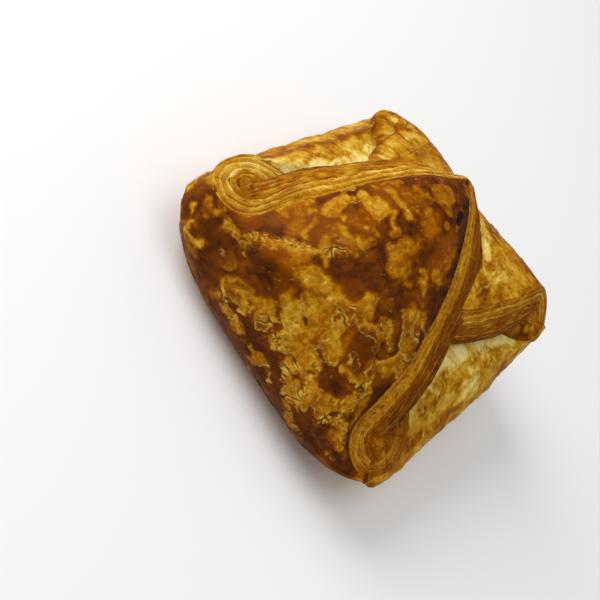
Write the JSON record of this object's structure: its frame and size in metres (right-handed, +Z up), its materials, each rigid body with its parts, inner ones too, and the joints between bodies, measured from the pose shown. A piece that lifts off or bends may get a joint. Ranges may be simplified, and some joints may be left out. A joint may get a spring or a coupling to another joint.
{
  "type": "turnover pastry",
  "caption": "Baked puff pastry envelope: a square of laminated dough with its corners folded in over the middle, resting on a flat base.",
  "frame": {"origin": "centre of the flat base, below the middle of the pastry's bounding box", "axes": "+Z up; -Y towards the front, where the top flap starts; +X to the right"},
  "size_m": [0.108, 0.1036, 0.0578],
  "materials": {
    "crust": "egg-glazed baked crust, mottled brown and golden",
    "pale_dough": "matt, lightly baked dough with fine stretch marks",
    "cut_layers": "matt, fine laminated layers of a cut edge",
    "base_crust": "matt, flat baked underside"
  },
  "bodies": {
    "root": {"pastry": "crust"}
  },
  "joints": []
}
